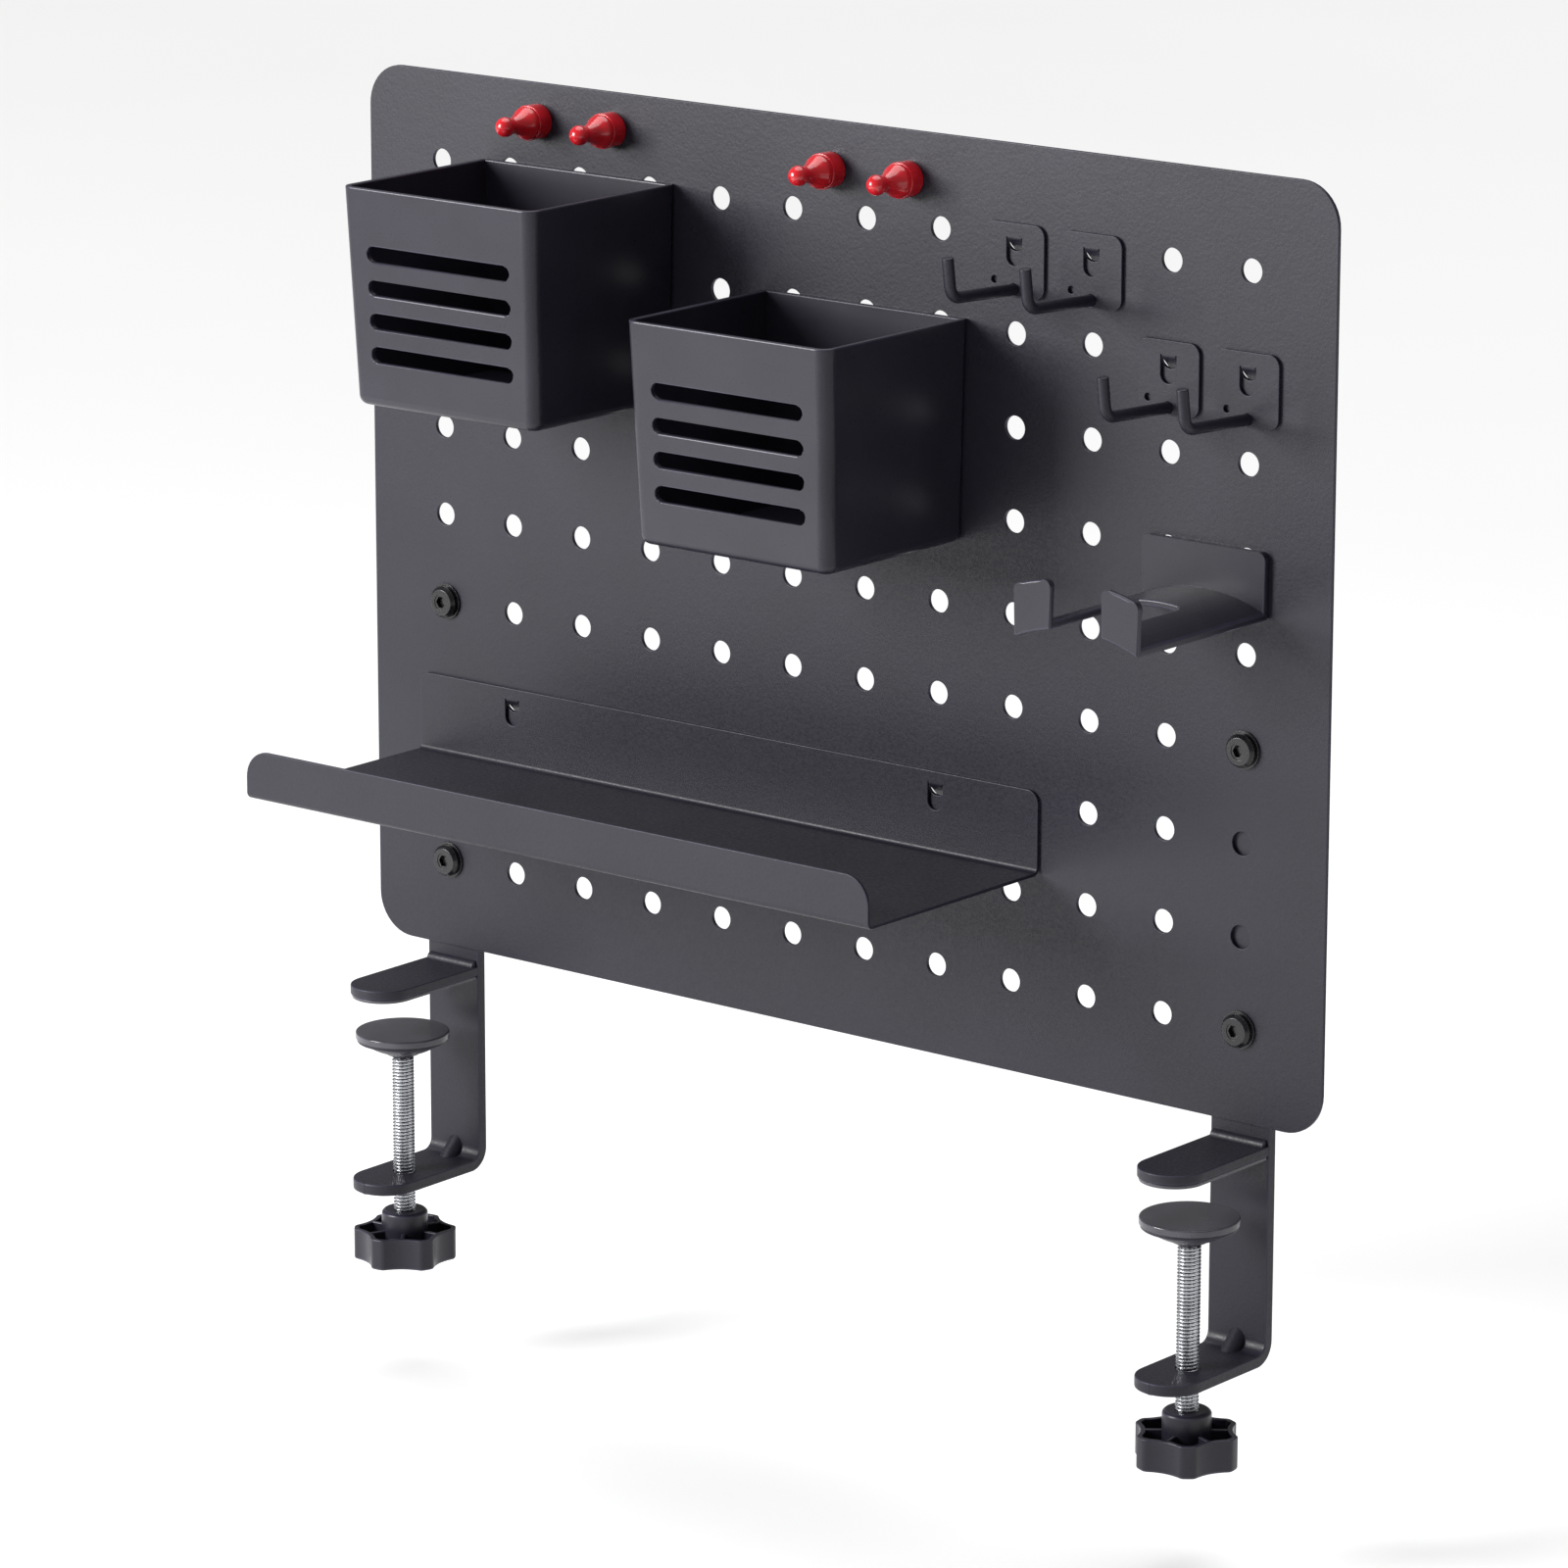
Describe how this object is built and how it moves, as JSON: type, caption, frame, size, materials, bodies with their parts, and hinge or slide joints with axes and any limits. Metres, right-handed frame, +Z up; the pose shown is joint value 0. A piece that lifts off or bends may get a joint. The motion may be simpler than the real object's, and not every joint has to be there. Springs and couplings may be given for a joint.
{
  "type": "pegboard tool wall",
  "caption": "Clamp-on perforated steel pegboard above a desk edge, with pen cups, a tray, hooks, a headphone holder and pawn magnets.",
  "frame": {"origin": "on the desk top, at the middle of the desk's edge, level with the undersides of the jaw pads and the fronts of the bracket strips", "axes": "+X to the right along the desk edge, +Y away from the desk, +Z up"},
  "size_m": [0.42, 0.105, 0.4326],
  "materials": {
    "powder_coat": "fine-textured charcoal powder coat",
    "rubber": "matt black",
    "zinc_steel": "zinc plated",
    "black_plastic": "fine-grained black",
    "black_bolt": "glossy black",
    "red_plastic": "glossy red",
    "nickel": "nickel plated"
  },
  "bodies": {
    "wall": {"pegboard_panel": "powder_coat", "left_bracket": "powder_coat", "right_bracket": "powder_coat", "left_upper_jaw": "powder_coat", "right_upper_jaw": "powder_coat", "left_jaw_pad": "rubber", "right_jaw_pad": "rubber", "panel_bolts": "black_bolt", "bolt_washers": "black_bolt", "bolt_nuts": "black_bolt"},
    "left_tip": {"left_ball_tip": "zinc_steel"},
    "left_screw": {"left_clamp_screw": "zinc_steel", "left_knob": "black_plastic"},
    "left_swivel": {"left_swivel_dish": "powder_coat", "left_disc_pad": "rubber"},
    "right_tip": {"right_ball_tip": "zinc_steel"},
    "right_screw": {"right_clamp_screw": "zinc_steel", "right_knob": "black_plastic"},
    "right_swivel": {"right_swivel_dish": "powder_coat", "right_disc_pad": "rubber"},
    "hook_1": {"hook_plate_1": "powder_coat", "hook_prong_1": "powder_coat"},
    "hook_2": {"hook_plate_2": "powder_coat", "hook_prong_2": "powder_coat"},
    "hook_3": {"hook_plate_3": "powder_coat", "hook_prong_3": "powder_coat"},
    "hook_4": {"hook_plate_4": "powder_coat", "hook_prong_4": "powder_coat"},
    "upper_cup": {"upper_pen_cup": "black_plastic"},
    "lower_cup": {"lower_pen_cup": "black_plastic"},
    "tray_body": {"tray": "powder_coat"},
    "holder": {"headphone_holder": "black_plastic"},
    "magnet_1": {"magnet_body_1": "red_plastic", "magnet_core_1": "nickel"},
    "magnet_2": {"magnet_body_2": "red_plastic", "magnet_core_2": "nickel"},
    "magnet_3": {"magnet_body_3": "red_plastic", "magnet_core_3": "nickel"},
    "magnet_4": {"magnet_body_4": "red_plastic", "magnet_core_4": "nickel"}
  },
  "joints": [
    {"name": "left_screw_travel", "type": "slide", "parent": "wall", "child": "left_tip", "axis": [0, 0, 1], "range_m": [-0.0365, 0.0095]},
    {"name": "left_screw_turn", "type": "hinge", "parent": "left_tip", "child": "left_screw", "pos_m": [-0.176, -0.0278, -0.05], "axis": [0, 0, 1], "range_deg": [-10512, 2736]},
    {"name": "left_disc_tilt", "type": "hinge", "parent": "left_tip", "child": "left_swivel", "pos_m": [-0.176, -0.0278, -0.0212], "axis": [1, 0, 0], "range_deg": [-6, 6]},
    {"name": "right_screw_travel", "type": "slide", "parent": "wall", "child": "right_tip", "axis": [0, 0, 1], "range_m": [-0.0365, 0.0095]},
    {"name": "right_screw_turn", "type": "hinge", "parent": "right_tip", "child": "right_screw", "pos_m": [0.176, -0.0278, -0.05], "axis": [0, 0, 1], "range_deg": [-10512, 2736]},
    {"name": "right_disc_tilt", "type": "hinge", "parent": "right_tip", "child": "right_swivel", "pos_m": [0.176, -0.0278, -0.0212], "axis": [1, 0, 0], "range_deg": [-6, 6]},
    {"name": "hook_1_lift_off", "type": "slide", "parent": "wall", "child": "hook_1", "axis": [0, -0.7071, 0.7071], "range_m": [0, 0.012]},
    {"name": "hook_2_lift_off", "type": "slide", "parent": "wall", "child": "hook_2", "axis": [0, -0.7071, 0.7071], "range_m": [0, 0.012]},
    {"name": "hook_3_lift_off", "type": "slide", "parent": "wall", "child": "hook_3", "axis": [0, -0.7071, 0.7071], "range_m": [0, 0.012]},
    {"name": "hook_4_lift_off", "type": "slide", "parent": "wall", "child": "hook_4", "axis": [0, -0.7071, 0.7071], "range_m": [0, 0.012]},
    {"name": "upper_cup_lift_off", "type": "slide", "parent": "wall", "child": "upper_cup", "axis": [0, -0.7071, 0.7071], "range_m": [0, 0.012]},
    {"name": "lower_cup_lift_off", "type": "slide", "parent": "wall", "child": "lower_cup", "axis": [0, -0.7071, 0.7071], "range_m": [0, 0.012]},
    {"name": "tray_lift_off", "type": "slide", "parent": "wall", "child": "tray_body", "axis": [0, -0.7071, 0.7071], "range_m": [0, 0.012]},
    {"name": "holder_lift_off", "type": "slide", "parent": "wall", "child": "holder", "axis": [0, -0.7071, 0.7071], "range_m": [0, 0.012]},
    {"name": "magnet_1_pull_off", "type": "slide", "parent": "wall", "child": "magnet_1", "axis": [0, -1, 0], "range_m": [0, 0.03]},
    {"name": "magnet_2_pull_off", "type": "slide", "parent": "wall", "child": "magnet_2", "axis": [0, -1, 0], "range_m": [0, 0.03]},
    {"name": "magnet_3_pull_off", "type": "slide", "parent": "wall", "child": "magnet_3", "axis": [0, -1, 0], "range_m": [0, 0.03]},
    {"name": "magnet_4_pull_off", "type": "slide", "parent": "wall", "child": "magnet_4", "axis": [0, -1, 0], "range_m": [0, 0.03]}
  ],
  "couplings": [
    {"joint": "left_screw_turn", "follows": "left_screw_travel", "rad_per_m": 5026.5},
    {"joint": "right_screw_turn", "follows": "right_screw_travel", "rad_per_m": 5026.5}
  ]
}
